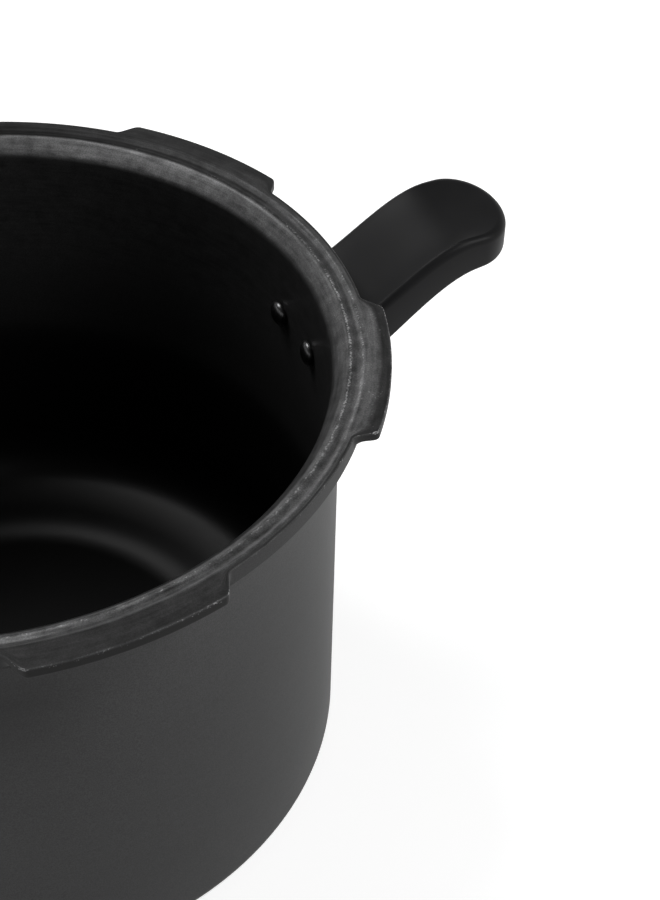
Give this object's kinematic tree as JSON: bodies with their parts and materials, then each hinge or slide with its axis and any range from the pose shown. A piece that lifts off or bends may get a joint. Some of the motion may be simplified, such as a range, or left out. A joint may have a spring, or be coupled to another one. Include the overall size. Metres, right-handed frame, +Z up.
{
  "type": "stovetop pressure cooker",
  "caption": "Deep black hard-anodised pressure cooker pot with bayonet lugs, long and helper handles, and its matching domed lid with weight, set down beside it.",
  "frame": {"origin": "centre of the pot's flat base, on the surface it stands on", "axes": "+Z up along the pot's axis, +X through the helper handle, -X along the long handle"},
  "size_m": [0.5577, 0.5119, 0.1569],
  "materials": {
    "anodised": "matt black hard-anodised aluminium",
    "phenolic": "satin black phenolic moulding",
    "black_steel": "black coated steel",
    "rivet": "polished black anodised aluminium",
    "screw_steel": "zinc plated steel",
    "gasket_rubber": "black nitrile rubber",
    "brass": "turned brass",
    "solder": "grey fusible alloy",
    "grommet_silicone": "black silicone",
    "weight_steel": "turned stainless steel",
    "cap_plastic": "black phenolic",
    "pin_metal": "bright turned aluminium"
  },
  "bodies": {
    "pot": {"pot_body": "anodised", "helper_handle": "phenolic", "helper_bracket": "black_steel", "helper_rivet_1": "rivet", "helper_rivet_2": "rivet", "helper_screw": "screw_steel", "main_handle": "phenolic", "main_bracket": "black_steel", "main_rivet_1": "rivet", "main_rivet_2": "rivet", "main_screw": "screw_steel"},
    "sealing_ring": {"gasket": "gasket_rubber"},
    "lid": {"lid_shell": "anodised", "vent_pipe": "brass", "vent_nut": "brass", "safety_plug": "brass", "safety_core": "solder", "safety_nut": "brass", "indicator_grommet": "grommet_silicone", "lid_handle": "phenolic", "lid_bracket": "black_steel", "lid_rivet_1": "rivet", "lid_rivet_2": "rivet", "lid_screw": "screw_steel"},
    "weight": {"weight_body": "weight_steel", "weight_cap": "cap_plastic"},
    "indicator": {"indicator_pin": "pin_metal"}
  },
  "joints": [
    {"name": "lid_lift", "type": "slide", "parent": "pot", "child": "sealing_ring", "axis": [0, 0, 1], "range_m": [0, 0.25]},
    {"name": "lid_turn", "type": "hinge", "parent": "sealing_ring", "child": "lid", "pos_m": [-0.09, 0.262, 0], "axis": [0, 0, 1], "range_deg": [0, 30]},
    {"name": "weight_lift", "type": "slide", "parent": "lid", "child": "weight", "axis": [0, 0, 1], "range_m": [0, 0.03]},
    {"name": "indicator_rise", "type": "slide", "parent": "lid", "child": "indicator", "axis": [0, 0, 1], "range_m": [0, 0.0045]}
  ]
}
